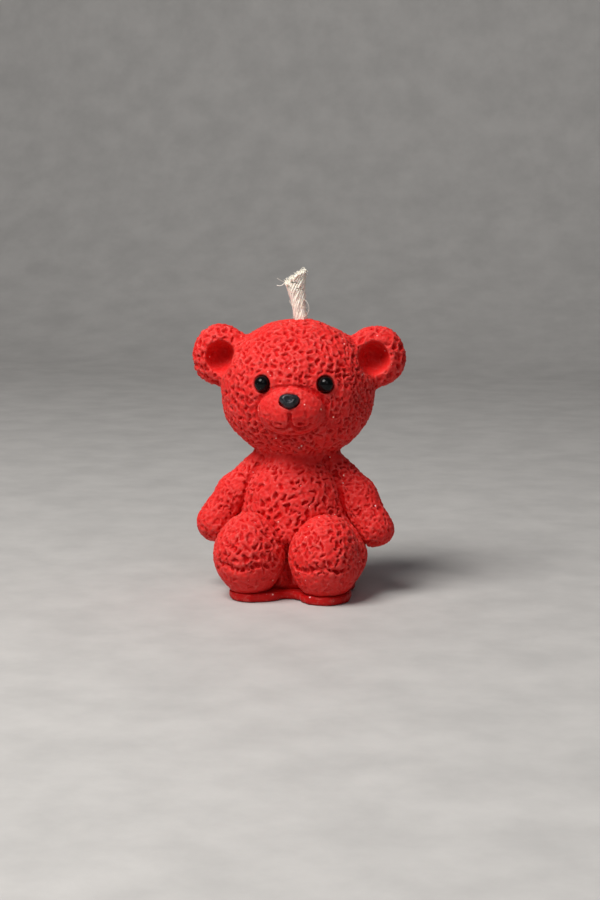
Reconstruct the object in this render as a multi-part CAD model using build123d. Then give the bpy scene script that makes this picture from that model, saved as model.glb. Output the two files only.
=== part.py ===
from build123d import *
from build123d.topology import SkipClean
import os
from math import cos, radians, sin, sqrt

# A cast wax candle in the shape of a seated teddy bear.
#
# Frame: the origin is on the wick's axis, in the plane that the candle stands on. +Z is up, the bear
# looks along -Y, and +X is on the right of someone who faces it.
#
# How it is made: the figure is cast upside down in a flexible mould round a cotton wick, and a second,
# thin pour closes it and becomes the flat foot. The eyes and the nose are small domed buttons with a
# pin on the back, pressed into sockets that the mould leaves in the face.

os.makedirs("parts", exist_ok=True)

# --- driving dimensions: millimetres and degrees; a pair or triple is x, y, z in that order ---

WICK_DIAMETER = 3.0
WICK_BEND_Z = 62.0          # where the stub starts to lean, just inside the crown
WICK_BEND_RADIUS = 14.0
WICK_LEAN = 9.0             # how far the stub leans towards -X
WICK_TIP_Z = 74.8           # height of the cut on the wick's axis
WICK_CUT_SLOPE = 34.0       # the scissor cut rises towards +X

BASE_THICKNESS = 2.0        # the second pour
BASE_EDGE = 0.7             # rounding of its lower edge
BASE_LOBE_RADIUS = 6.6      # the foot under each leg
BASE_LOBE_CENTRE = (8.2, -13.6)
BASE_SEAT_RADIUS = 14.0     # the foot under the torso
BASE_SEAT_Y = -0.4
BASE_NOTCH = 1.5            # rounding of the notches between the lobes and the seat

HEAD_HALF_WIDTH = 18.1
HEAD_RADIUS = 16.1          # half of its height and of its depth
HEAD_CENTRE = (0, -0.4, 48.4)
HEAD_TURN = 5.0             # the head looks a little towards +X

MUZZLE_HALF_WIDTH = 8.2
MUZZLE_RADIUS = 6.2
MUZZLE_CENTRE = (0, -13.5, 45.0)

EAR_CENTRE = (18.4, 1.2, 55.6)
EAR_RADIUS = 7.1
EAR_HALF_THICKNESS = 4.4
EAR_CUP_RADIUS = 4.3
EAR_CUP_DEPTH = 3.9
EAR_OUTWARD = 4.0           # how far each cup is turned away from the face

EYE_DIAMETER = 4.0
EYE_SUNK = 0.7              # how deep the back of the dome sits below the face
EYE_SOCKET_GAP = 0.25
EYE_PLACE = (7.5, 50.9)     # x and z
EYE_SHIFT = 0.45            # both eyes sit this far towards +X of the face's middle
PIN_DIAMETER = 1.2
PIN_LENGTH = 2.6

NOSE_WIDTH = 4.7
NOSE_HEIGHT = 3.7
NOSE_DEPTH = 2.0
NOSE_SUNK = 0.8
NOSE_CORNER = 1.1
NOSE_EDGE = 0.9
NOSE_Z = 47.6

MOUTH_DEPTH = 0.45
MOUTH_LINE = 0.7            # width of the moulded lines
MOUTH_LINE_TOP = 46.2
SMILE_RADIUS = 2.5
SMILE_Z = 43.9              # height of the ends of the smile

TORSO_PROFILE = (           # radius and height up the torso, from the foot into the head
    (13.6, 0.0),
    (15.4, 5.0),
    (15.6, 11.0),
    (14.8, 19.0),
    (12.8, 27.0),
    (9.8, 32.8),
    (9.6, 38.0),
)
TORSO_Y = -0.6

ARM_SHOULDER = (11.6, -1.4, 27.4)
ARM_HAND = (19.4, -4.6, 16.2)
ARM_RADIUS = 4.5

FOOT_CENTRE = (8.9, -13.6, 10.3)
FOOT_RADIUS = 8.3
FOOT_HALF_HEIGHT = 9.9
THIGH_CENTRE = (8.6, -6.6, 9.8)
THIGH_RADIUS = 8.9
THIGH_HALF_LENGTH = 13.0
THIGH_SPLAY = 15.0          # how far each leg points outwards
CREASE_Z = 8.5
CREASE_HEIGHT = 0.8
CREASE_DEPTH = 0.6
CREASE_WIDTH = 9.0

SPHEROID_SPANS = 16         # spans of the closed curve that a spheroid is turned from
SIDES = {"left": -1, "right": 1}
ON_SEAT = (Align.CENTER, Align.CENTER, Align.MIN)
ROOM = 100.0                # larger than the whole candle


def spheroid(half_length, radius):
    """An ellipsoid of revolution about the Z axis, centred on the origin, as two half turns."""
    angles = [radians(360 * step / SPHEROID_SPANS) for step in range(SPHEROID_SPANS)]
    points = [(radius * cos(angle), half_length * sin(angle)) for angle in angles]
    right_half = Pos(radius, 0) * Rectangle(2 * radius, 4 * half_length)
    face = Plane.XZ * (make_face(Spline(*points, periodic=True)) & right_half)
    half = revolve(face, Axis.Z, revolution_arc=180)
    return half + Rot(0, 0, 180) * half


def crosswise_spheroid(centre, half_width, radius):
    """A spheroid about a centre, with its long axis from side to side."""
    return Pos(centre) * Rot(0, 90, 0) * spheroid(half_width, radius)


def mirrored(point, side):
    """The point that stands on the given side of the bear: -1 for -X, 1 for +X."""
    x, y, z = point
    return (side * x, y, z)


def skin_plane(centre, half_width, radius, x, z):
    """A plane on the front of a crosswise spheroid at x and z, whose Z direction points out of it."""
    across = (x - centre[0]) / half_width
    up = (z - centre[2]) / radius
    forward = -sqrt(1 - across**2 - up**2)
    outward = Vector(across / half_width, forward / radius, up / radius)
    sideways = Vector(0, 0, 1).cross(outward)
    return Plane(Vector(x, centre[1] + forward * radius, z), x_dir=sideways, z_dir=outward)


def eye_seat(side):
    """The plane that the back of an eye's dome lies on."""
    x = side * EYE_PLACE[0] + EYE_SHIFT
    skin = skin_plane(HEAD_CENTRE, HEAD_HALF_WIDTH, HEAD_RADIUS, x, EYE_PLACE[1])
    return skin.offset(-EYE_SUNK)


def with_head_turn(shape):
    """Turns a piece of the head by the angle that the head looks aside."""
    return Rot(0, 0, HEAD_TURN) * shape


def pin():
    """The pin on the back of a button, pointing along -Z from the origin."""
    return Pos(0, 0, -PIN_LENGTH / 2) * Cylinder(PIN_DIAMETER / 2, PIN_LENGTH)


def eye_button(side):
    """One eye: a half ball on a pin, set in the face."""
    dome = Sphere(EYE_DIAMETER / 2, arc_size1=0, arc_size2=90, align=ON_SEAT)
    return eye_seat(side) * (dome + pin())


def eye_socket(side):
    """The round recess that the mould leaves for an eye, a little wider than the dome."""
    recess_radius = EYE_DIAMETER / 2 + EYE_SOCKET_GAP
    recess = Cylinder(recess_radius, EYE_DIAMETER, align=ON_SEAT)
    return eye_seat(side) * (recess + pin())


def nose_button():
    """The nose: a rounded triangle, wide at the top, with a pillowed front and a pin."""
    skin = skin_plane(MUZZLE_CENTRE, MUZZLE_HALF_WIDTH, MUZZLE_RADIUS, 0, NOSE_Z)
    half_width, half_height = NOSE_WIDTH / 2, NOSE_HEIGHT / 2
    triangle = Polygon(
        (-half_width, half_height),
        (-half_width, half_height / 3),
        (0, -half_height),
        (half_width, half_height / 3),
        (half_width, half_height),
        align=None,
    )
    outline = fillet(triangle.vertices(), NOSE_CORNER / 2)
    block = extrude(outline, NOSE_DEPTH)
    pillow = fillet(block.edges().group_by(Axis.Z)[-1], NOSE_EDGE / 2)
    return skin.offset(-NOSE_SUNK) * (pillow + pin())


def ear(side):
    """One ear: a thick round lobe with a cup in its front, both round about the way it faces."""
    lobe = spheroid(EAR_HALF_THICKNESS, EAR_RADIUS)
    cup = Pos(0, 0, EAR_HALF_THICKNESS) * spheroid(EAR_CUP_DEPTH, EAR_CUP_RADIUS)
    facing = Plane(mirrored(EAR_CENTRE, side), z_dir=(0, -1, 0)).rotated((0, 0, side * EAR_OUTWARD))
    return facing * (lobe - cup)


def mouth():
    """The moulded mouth: a line down from the nose and two arcs, as deep as MOUTH_DEPTH all along."""
    half_line = MOUTH_LINE / 2
    line_height = MOUTH_LINE_TOP - SMILE_Z
    line = Pos(0, SMILE_Z + line_height / 2) * Rectangle(MOUTH_LINE, line_height)
    ring = Circle(SMILE_RADIUS + half_line) - Circle(SMILE_RADIUS - half_line)
    lower_half = Pos(0, -SMILE_RADIUS) * Rectangle(4 * SMILE_RADIUS, 2 * SMILE_RADIUS)
    arc = ring & lower_half
    outline = line + [Pos(side * SMILE_RADIUS, SMILE_Z) * arc for side in SIDES.values()]
    tool = Pos(0, MUZZLE_CENTRE[1], 0) * extrude(Plane.XZ * outline, 2 * MUZZLE_RADIUS)
    half_width, radius = MUZZLE_HALF_WIDTH - MOUTH_DEPTH, MUZZLE_RADIUS - MOUTH_DEPTH
    return tool - crosswise_spheroid(MUZZLE_CENTRE, half_width, radius)


def head():
    """The head with its muzzle, ears, mouth and the sockets for the buttons."""
    solid = crosswise_spheroid(HEAD_CENTRE, HEAD_HALF_WIDTH, HEAD_RADIUS)
    solid += crosswise_spheroid(MUZZLE_CENTRE, MUZZLE_HALF_WIDTH, MUZZLE_RADIUS)
    for side in SIDES.values():
        solid += ear(side)
        solid -= eye_socket(side)
    return with_head_turn(solid - mouth() - nose_button())


def torso():
    """The pear-shaped torso, with the neck running up into the head."""
    radius, height = TORSO_PROFILE[-1]
    side = Spline(*TORSO_PROFILE)
    outline = side + Polyline((radius, height), (0, height), (0, 0), TORSO_PROFILE[0])
    return Pos(0, TORSO_Y, 0) * revolve(Plane.XZ * make_face(outline), Axis.Z)


def arm(side):
    """One arm: a round-ended sausage that hangs from the shoulder, the hand a little forward."""
    start, end = Vector(mirrored(ARM_SHOULDER, side)), Vector(mirrored(ARM_HAND, side))
    along = end - start
    middle = Plane((start + end) * 0.5, z_dir=along)
    sausage = middle * Cylinder(ARM_RADIUS, along.length)
    return sausage + [Pos(point) * Sphere(ARM_RADIUS) for point in (start, end)]


def foot_ball(depth=0.0):
    """The egg shape of a foot, or one whose surface lies deeper."""
    return spheroid(FOOT_HALF_HEIGHT - depth, FOOT_RADIUS - depth)


def leg(side):
    """One leg: a thigh that points forward and outward, and a tall round foot with a sole crease."""
    foot_place = Pos(mirrored(FOOT_CENTRE, side))
    crease_box = Box(CREASE_WIDTH, 3 * FOOT_RADIUS, CREASE_HEIGHT)
    crease = Pos(0, -1.5 * FOOT_RADIUS, CREASE_Z - FOOT_CENTRE[2]) * crease_box
    foot = foot_place * (foot_ball() - (crease - foot_ball(CREASE_DEPTH)))
    thigh = Rot(90, 0, 0) * spheroid(THIGH_HALF_LENGTH, THIGH_RADIUS)
    return foot + Pos(mirrored(THIGH_CENTRE, side)) * Rot(0, 0, side * THIGH_SPLAY) * thigh


def wick():
    """The wick: straight up through the wax, then a short leaning stub with a slanted cut."""
    rise = Line((0, 0), (0, WICK_BEND_Z))
    bend = JernArc(rise @ 1, rise % 1, WICK_BEND_RADIUS, WICK_LEAN)
    stub = Line(bend @ 1, bend @ 1 + (bend % 1) * (WICK_TIP_Z - WICK_BEND_Z))
    cord = sweep(Circle(WICK_DIAMETER / 2), path=Plane.XZ * (rise + bend + stub))
    tip_x = (stub @ 0).X + (WICK_TIP_Z - (stub @ 0).Y) * (bend % 1).X
    cut = Plane((tip_x, 0, WICK_TIP_Z)).rotated((0, -WICK_CUT_SLOPE, 0))
    return split(cord, bisect_by=cut, keep=Keep.BOTTOM)


def base_pour(wick_solid):
    """The second pour: a thin flat foot with two lobes under the legs and a rounded lower edge."""
    outline = Pos(0, BASE_SEAT_Y) * Circle(BASE_SEAT_RADIUS)
    for side in SIDES.values():
        x, y = BASE_LOBE_CENTRE
        outline += Pos(side * x, y) * Circle(BASE_LOBE_RADIUS)
    outline = fillet(outline.vertices(), BASE_NOTCH)
    slab = extrude(outline, BASE_THICKNESS)
    slab = fillet(slab.edges().group_by(Axis.Z)[0], BASE_EDGE)
    return slab - wick_solid


def wax_body(wick_solid):
    """The whole wax figure above the second pour."""
    solid = head() + torso()
    for side in SIDES.values():
        solid += arm(side)
        solid += leg(side)
    above_base = Pos(0, 0, BASE_THICKNESS) * Box(ROOM, ROOM, ROOM, align=ON_SEAT)
    return (solid & above_base) - wick_solid


def write(node, shape):
    """Writes one node's STEP file."""
    export_step(shape, f"parts/{node}.step")


WICK = wick()
write("wick", WICK)
write("base_pour", base_pour(WICK))
write("nose_button", with_head_turn(nose_button()))
for name, direction in SIDES.items():
    write(f"{name}_eye_button", with_head_turn(eye_button(direction)))

# The halves of each spheroid stay separate faces here, so that no face runs round a cut-away pole.
with SkipClean():
    write("wax_body", wax_body(WICK))
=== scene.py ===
"""A small seated teddy bear cast in red wax: a candle with a cotton wick, button eyes and a button nose.

The sizes here are millimetres unless a name says otherwise, and meshes are made in metres. The origin is on
the wick's axis, in the plane that the candle stands on. +Z is up and the bear looks along -Y.
"""

import logging
import math
from dataclasses import dataclass, field
from enum import Enum

import bmesh
import bpy
import numpy as np
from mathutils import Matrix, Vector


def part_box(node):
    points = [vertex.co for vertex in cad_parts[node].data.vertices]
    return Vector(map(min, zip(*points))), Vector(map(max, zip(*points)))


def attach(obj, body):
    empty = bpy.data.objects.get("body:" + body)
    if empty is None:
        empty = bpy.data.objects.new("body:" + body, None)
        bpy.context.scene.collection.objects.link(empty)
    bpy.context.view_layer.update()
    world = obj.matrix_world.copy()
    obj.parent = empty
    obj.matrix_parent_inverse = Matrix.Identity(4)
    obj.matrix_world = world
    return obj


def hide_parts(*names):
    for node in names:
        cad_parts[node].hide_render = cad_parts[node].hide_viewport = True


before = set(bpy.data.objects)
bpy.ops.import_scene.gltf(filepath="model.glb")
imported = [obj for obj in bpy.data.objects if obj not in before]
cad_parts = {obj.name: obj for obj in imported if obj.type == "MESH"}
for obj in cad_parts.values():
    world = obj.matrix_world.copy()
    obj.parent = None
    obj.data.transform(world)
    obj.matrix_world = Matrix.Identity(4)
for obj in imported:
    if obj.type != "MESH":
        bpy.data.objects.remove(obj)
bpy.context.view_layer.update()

import openvdb
from mathutils import Vector, kdtree

LOG = logging.getLogger("candle")
MM = 0.001
BODY = "root"
SEED = 20

Triple = tuple[float, float, float]
Array = np.ndarray


class Side(Enum):
    """The two sides of the bear, as a person who faces it sees them."""

    LEFT = -1
    RIGHT = 1


# ---------------------------------------------------------------- small geometry helpers


def smoothstep(low: float | Array, high: float | Array, value: Array) -> Array:
    """Rises smoothly from 0 at low to 1 at high.

    Args:
        low: where the rise starts.
        high: where it ends.
        value: the values to map.

    Returns:
        The mapped values, from 0 to 1.
    """
    part = np.clip((value - low) / (high - low), 0.0, 1.0)
    return part * part * (3.0 - 2.0 * part)


def unit(vectors: Array) -> Array:
    """The vectors scaled to length 1 along their last axis."""
    lengths = np.linalg.norm(vectors, axis=-1, keepdims=True)
    return vectors / np.maximum(lengths, 1e-9)


def spin(point: Triple, degrees: float) -> Triple:
    """A point turned about the Z axis by an angle in degrees.

    Args:
        point: the point.
        degrees: the angle.

    Returns:
        The turned point.
    """
    angle = math.radians(degrees)
    x, y, z = point
    return (x * math.cos(angle) - y * math.sin(angle), x * math.sin(angle) + y * math.cos(angle), z)


def mirror(point: Triple, side: Side) -> Triple:
    """The point on the given side, for a point written for the right side."""
    return (point[0] * side.value, point[1], point[2])


@dataclass
class Waves:
    """Soft seeded unevenness: a sum of plane waves in random directions."""

    wavelength: float
    count: int = 24
    seed: int = SEED

    def at(self, points: Array) -> Array:
        """The unevenness at some points.

        Args:
            points: an array of points, one row each, in millimetres.

        Returns:
            One value for each point, mostly between -1 and 1.
        """
        dice = np.random.default_rng(self.seed)
        ways = unit(dice.normal(size=(self.count, 3)))
        lengths = self.wavelength * dice.uniform(0.7, 1.5, self.count)
        phases = dice.uniform(0, math.tau, self.count)
        total = np.zeros(len(points))
        for way, length, phase in zip(ways, lengths, phases):
            total += np.sin(points @ way * (math.tau / length) + phase)
        return total / math.sqrt(self.count)


def tree_of(points: Array) -> kdtree.KDTree:
    """A search tree over some points.

    Args:
        points: the points, one row each.

    Returns:
        The tree, ready to search.
    """
    tree = kdtree.KDTree(len(points))
    for number, point in enumerate(points):
        tree.insert(point, number)
    tree.balance()
    return tree


def make_object(name: str, points: Array, faces: list | Array, smooth: bool = True) -> bpy.types.Object:
    """Makes a mesh object from points in millimetres.

    Args:
        name: the piece's name.
        points: its vertices, in millimetres.
        faces: its faces, as rows of vertex numbers.
        smooth: whether it is shaded smooth.

    Returns:
        The new object, in the scene.
    """
    mesh = bpy.data.meshes.new(name)
    rows = faces.tolist() if isinstance(faces, np.ndarray) else faces
    mesh.from_pydata((np.asarray(points) * MM).tolist(), [], rows)
    mesh.polygons.foreach_set("use_smooth", [smooth] * len(mesh.polygons))
    mesh.update()
    made = bpy.data.objects.new(name, mesh)
    bpy.context.scene.collection.objects.link(made)
    return made


def vertex_rows(mesh: bpy.types.Mesh, name: str) -> Array:
    """A mesh's vertex places ("co") or directions ("normal"), one row each.

    Args:
        mesh: the mesh.
        name: "co" or "normal".

    Returns:
        The rows.
    """
    rows = np.empty(len(mesh.vertices) * 3)
    mesh.vertices.foreach_get(name, rows)
    return rows.reshape(-1, 3)


def mark_relief(mesh: bpy.types.Mesh, rounds: int = 12, deep: float = 0.30, high: float = 0.20) -> None:
    """Marks the hollows and the ridges of a surface in two attributes, "hollow" and "ridge", from 0 to 1.

    Args:
        mesh: the surface.
        rounds: how far the smoothed surface that it is compared with is smoothed.
        deep: the depth of a full hollow, in millimetres.
        high: the height of a full ridge, in millimetres.
    """
    places = vertex_rows(mesh, "co") / MM
    ends = np.empty(len(mesh.edges) * 2, dtype=np.int64)
    mesh.edges.foreach_get("vertices", ends)
    first, second = ends.reshape(-1, 2).T
    count = np.bincount(ends, minlength=len(places))[:, None]
    smooth = places.copy()
    for _ in range(rounds):
        total = np.stack(
            [
                np.bincount(first, smooth[second, axis], len(places))
                + np.bincount(second, smooth[first, axis], len(places))
                for axis in range(3)
            ],
            axis=1,
        )
        smooth = 0.3 * smooth + 0.7 * total / np.maximum(count, 1)
    depth = np.einsum("ij,ij->i", smooth - places, vertex_rows(mesh, "normal"))
    for name, share in (("hollow", depth / deep), ("ridge", -depth / high)):
        made = mesh.attributes.new(name, "FLOAT", "POINT")
        made.data.foreach_set("value", np.clip(share, 0.0, 1.0))


def finish_piece(piece: bpy.types.Object, material: bpy.types.Material, slot: str, *nodes: str) -> None:
    """Dresses a piece, lets it ride on the candle's body and stand for its CAD nodes.

    Args:
        piece: the object.
        material: its finish.
        slot: the record's material slot; not used.
        nodes: the CAD nodes that it replaces.
    """
    piece.data.materials.clear()
    piece.data.materials.append(material)
    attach(piece, BODY)
    if nodes:
        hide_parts(*nodes)
    LOG.info("%s: %d faces", piece.name, len(piece.data.polygons))


# ---------------------------------------------------------------- modelling solids as distances


@dataclass
class Clay:
    """Space that a solid is modelled in, as signed distances to its surface on a regular grid."""

    low: Triple
    high: Triple
    step: float
    x: Array = field(init=False)
    y: Array = field(init=False)
    z: Array = field(init=False)
    distance: Array = field(init=False)

    def __post_init__(self) -> None:
        """Lays out the grid, empty."""
        axes = [np.arange(a, b, self.step, dtype=np.float32) for a, b in zip(self.low, self.high)]
        self.x, self.y, self.z = np.meshgrid(*axes, indexing="ij", sparse=True)
        self.distance = np.full([len(axis) for axis in axes], 1e3, dtype=np.float32)

    def ellipsoid(self, centre: Triple, radii: Triple, turn: float = 0.0) -> Array:
        """Distances to an ellipsoid.

        Args:
            centre: its centre.
            radii: its half sizes.
            turn: how far it is turned about Z, in degrees.

        Returns:
            One distance for each grid point, negative inside.
        """
        angle = math.radians(turn)
        across, along = self.x - centre[0], self.y - centre[1]
        u = across * math.cos(angle) + along * math.sin(angle)
        v = along * math.cos(angle) - across * math.sin(angle)
        w = self.z - centre[2]
        near = np.sqrt((u / radii[0]) ** 2 + (v / radii[1]) ** 2 + (w / radii[2]) ** 2)
        slope = np.sqrt((u / radii[0] ** 2) ** 2 + (v / radii[1] ** 2) ** 2 + (w / radii[2] ** 2) ** 2)
        return near * (near - 1.0) / np.maximum(slope, 1e-6)

    def limb(self, start: Triple, end: Triple, start_radius: float, end_radius: float) -> Array:
        """Distances to a round-ended limb whose radius changes evenly.

        Args:
            start: the middle of one end.
            end: the middle of the other end.
            start_radius: the radius there.
            end_radius: the radius at the other end.

        Returns:
            One distance for each grid point, negative inside.
        """
        way = np.subtract(end, start)
        dx, dy, dz = self.x - start[0], self.y - start[1], self.z - start[2]
        part = np.clip((dx * way[0] + dy * way[1] + dz * way[2]) / (way @ way), 0.0, 1.0)
        gap = np.sqrt((dx - part * way[0]) ** 2 + (dy - part * way[1]) ** 2 + (dz - part * way[2]) ** 2)
        return gap - (start_radius + part * (end_radius - start_radius))

    def upright(self, centre: tuple[float, float], radius: float) -> Array:
        """Distances to an endless upright cylinder, negative inside."""
        return np.hypot(self.x - centre[0], self.y - centre[1]) - radius

    def join(self, other: Array, blend: float) -> None:
        """Adds a shape, with a fillet about as wide as blend."""
        near = np.maximum(blend - np.abs(self.distance - other), 0.0) / blend
        self.distance = np.minimum(self.distance, other) - near * near * blend / 4.0

    def crease(self, other: Array, blend: float, radius: float) -> None:
        """Adds a shape, with a groove pressed in along the line where it meets the solid.

        Args:
            other: the shape's distances.
            blend: the width of the fillet.
            radius: the groove's radius.
        """
        line = np.hypot(self.distance, other) - radius
        self.join(other, blend)
        self.carve(line, 0.4)

    def carve(self, other: Array, blend: float) -> None:
        """Takes a shape away, with its edge rounded by about blend."""
        self.keep(-other, blend)

    def keep(self, other: Array, blend: float) -> None:
        """Keeps only what is inside a shape too, with its edge rounded by about blend."""
        near = np.maximum(blend - np.abs(self.distance - other), 0.0) / blend
        self.distance = np.maximum(self.distance, other) + near * near * blend / 4.0

    def skin(self) -> tuple[Array, Array]:
        """The surface of the solid.

        Returns:
            Its points, in millimetres, and its quads with their outer side out.
        """
        band = 3.0 * self.step
        grid = openvdb.FloatGrid(band)
        grid.copyFromArray(np.clip(self.distance, -band, band))
        points, quads = grid.convertToQuads()
        return points * self.step + np.array(self.low, dtype=np.float32), quads[:, ::-1]


# ---------------------------------------------------------------- the bear's shape


@dataclass(frozen=True)
class Ball:
    """A round that is wider than it is high and deep, such as the head or the muzzle."""

    centre: Triple
    half_width: float
    radius: float
    turn: float

    @property
    def radii(self) -> Triple:
        """Its half sizes."""
        return (self.half_width, self.radius, self.radius)

    def front(self, x: float, z: float, proud: float = 0.0) -> tuple[Triple, Triple]:
        """A place on its front.

        Args:
            x: how far to the right of its middle, before it is turned.
            z: the height.
            proud: how far above the surface.

        Returns:
            The place and the direction out of the surface, both turned with it.
        """
        across = (x - self.centre[0]) / self.half_width
        up = (z - self.centre[2]) / self.radius
        back = -math.sqrt(1 - across**2 - up**2)
        out = Vector((across / self.half_width, back / self.radius, up / self.radius)).normalized()
        place = Vector((x, self.centre[1] + back * self.radius, z)) + out * proud
        return spin(tuple(place), self.turn), spin(tuple(out), self.turn)


HEAD = Ball(centre=(0, -0.4, 48.4), half_width=18.1, radius=16.1, turn=5.0)
MUZZLE = Ball(centre=(0, -13.5, 45.0), half_width=8.2, radius=6.2, turn=5.0)


@dataclass
class CoatPlan:
    """Where the coat is coarse or fine, deep or smooth, and how wide its ridges are, for each point."""

    spacing: Array      # the distance between pits
    strength: Array     # how deep the pits are, from 0 to 1
    ridge: Array        # how wide the ridges are, from 0 to 1


@dataclass
class Coat:
    """The curly coat: pits pressed into the skin between a net of soft ridges."""

    spacing: float = 1.8        # between the middles of neighbouring pits
    depth: float = 0.62
    lip: float = 0.11           # how far the ridges stand up at a pit's edge
    stretch: float = 1.7        # how much longer than wide a pit is
    wander: float = 36.0        # how far a pit leans from upright, in degrees
    warp: float = 0.34          # how irregular the outlines are
    neighbours: int = 7
    shallow_share: float = 0.2  # how many pits are shallow
    lumps: float = 0.15
    wrinkle: float = 0.08

    def seeds(self, points: Array, spacing: Array, dice: np.random.Generator) -> Array:
        """Picks the pits' middles, no nearer to each other than the spacing there.

        Args:
            points: the skin's points.
            spacing: the wanted distance at each point.
            dice: the source of chance.

        Returns:
            The numbers of the points picked.
        """
        tree = tree_of(points)
        taken = np.zeros(len(points), dtype=bool)
        reach = spacing * dice.uniform(0.55, 1.15, len(points))
        picked = []
        for number in dice.permutation(len(points)):
            if taken[number]:
                continue
            picked.append(number)
            for _, near, _ in tree.find_range(points[number], reach[number]):
                taken[near] = True
        return np.array(picked)

    def warped(self, points: Array) -> Array:
        """The points pushed about a little, so that the pits' outlines are irregular.

        Args:
            points: the points, one row each.

        Returns:
            The moved points.
        """
        push = [Waves(2.4, seed=SEED + 40 + axis).at(points) for axis in range(3)]
        small = [Waves(1.1, seed=SEED + 50 + axis).at(points) for axis in range(3)]
        return points + self.warp * np.stack(push, axis=1) + 0.4 * self.warp * np.stack(small, axis=1)

    def press(self, points: Array, normals: Array, plan: CoatPlan) -> Array:
        """Works out the coat's relief.

        Args:
            points: the skin's points.
            normals: the skin's outward directions.
            plan: what the coat is like at each point.

        Returns:
            The height of each point above the plain skin, in millimetres.
        """
        dice = np.random.default_rng(SEED)
        picked = self.seeds(points, plan.spacing, dice)
        count = len(picked)
        out = normals[picked]
        upright = unit(np.array([0.0, 0.0, 1.0]) - out * out[:, 2:3] + 1e-3)
        level = np.cross(out, upright)
        lean = np.radians(dice.normal(0.0, self.wander, count))[:, None]
        along = upright * np.cos(lean) + level * np.sin(lean)
        aside = np.cross(out, along)
        stretch = (self.stretch + 0.5 * plan.ridge[picked]) * dice.uniform(0.6, 1.5, count)
        edge = dice.uniform(0.04, 0.26, count) + 0.16 * plan.ridge[picked]
        soft = dice.uniform(0.10, 0.34, count)
        is_shallow = dice.random(count) < self.shallow_share
        shallow = dice.uniform(0.25, 0.5, count)
        deep = np.where(is_shallow, shallow, dice.uniform(0.6, 1.15, count))
        taper = dice.uniform(-0.6, 0.6, count)

        moved = self.warped(points)
        tree = tree_of(points[picked])
        near = np.array([[hit[1] for hit in tree.find_n(point, self.neighbours)] for point in moved])
        gap = moved[:, None, :] - points[picked][near]
        u = np.einsum("ijk,ijk->ij", gap, along[near]) / np.sqrt(stretch[near])
        v = np.einsum("ijk,ijk->ij", gap, aside[near]) * np.sqrt(stretch[near])
        w = np.einsum("ijk,ijk->ij", gap, out[near])
        v = v * (1.0 + taper[near] * np.clip(u / plan.spacing[:, None], -1, 1))
        far = np.sqrt(u * u + v * v + 0.5 * w * w)
        order = np.argsort(far, axis=1)
        first, second = (np.take_along_axis(far, order[:, rank : rank + 1], axis=1)[:, 0] for rank in (0, 1))
        owner = np.take_along_axis(near, order[:, :1], axis=1)[:, 0]
        inward = (second - first) / (second + first)
        pit = smoothstep(edge[owner], edge[owner] + soft[owner], inward) * deep[owner]
        lip = np.exp(-(((inward - edge[owner] + 0.03) / 0.075) ** 2)) * smoothstep(0.2, 0.8, deep[owner])
        scale = plan.strength * plan.spacing / self.spacing
        height = scale * (self.lip * lip - self.depth * pit)
        height += (0.35 + 0.65 * plan.strength) * self.wrinkle * Waves(0.95, seed=SEED + 1).at(points)
        height += self.lumps * Waves(9.0, seed=SEED + 2).at(points)
        return height


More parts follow.
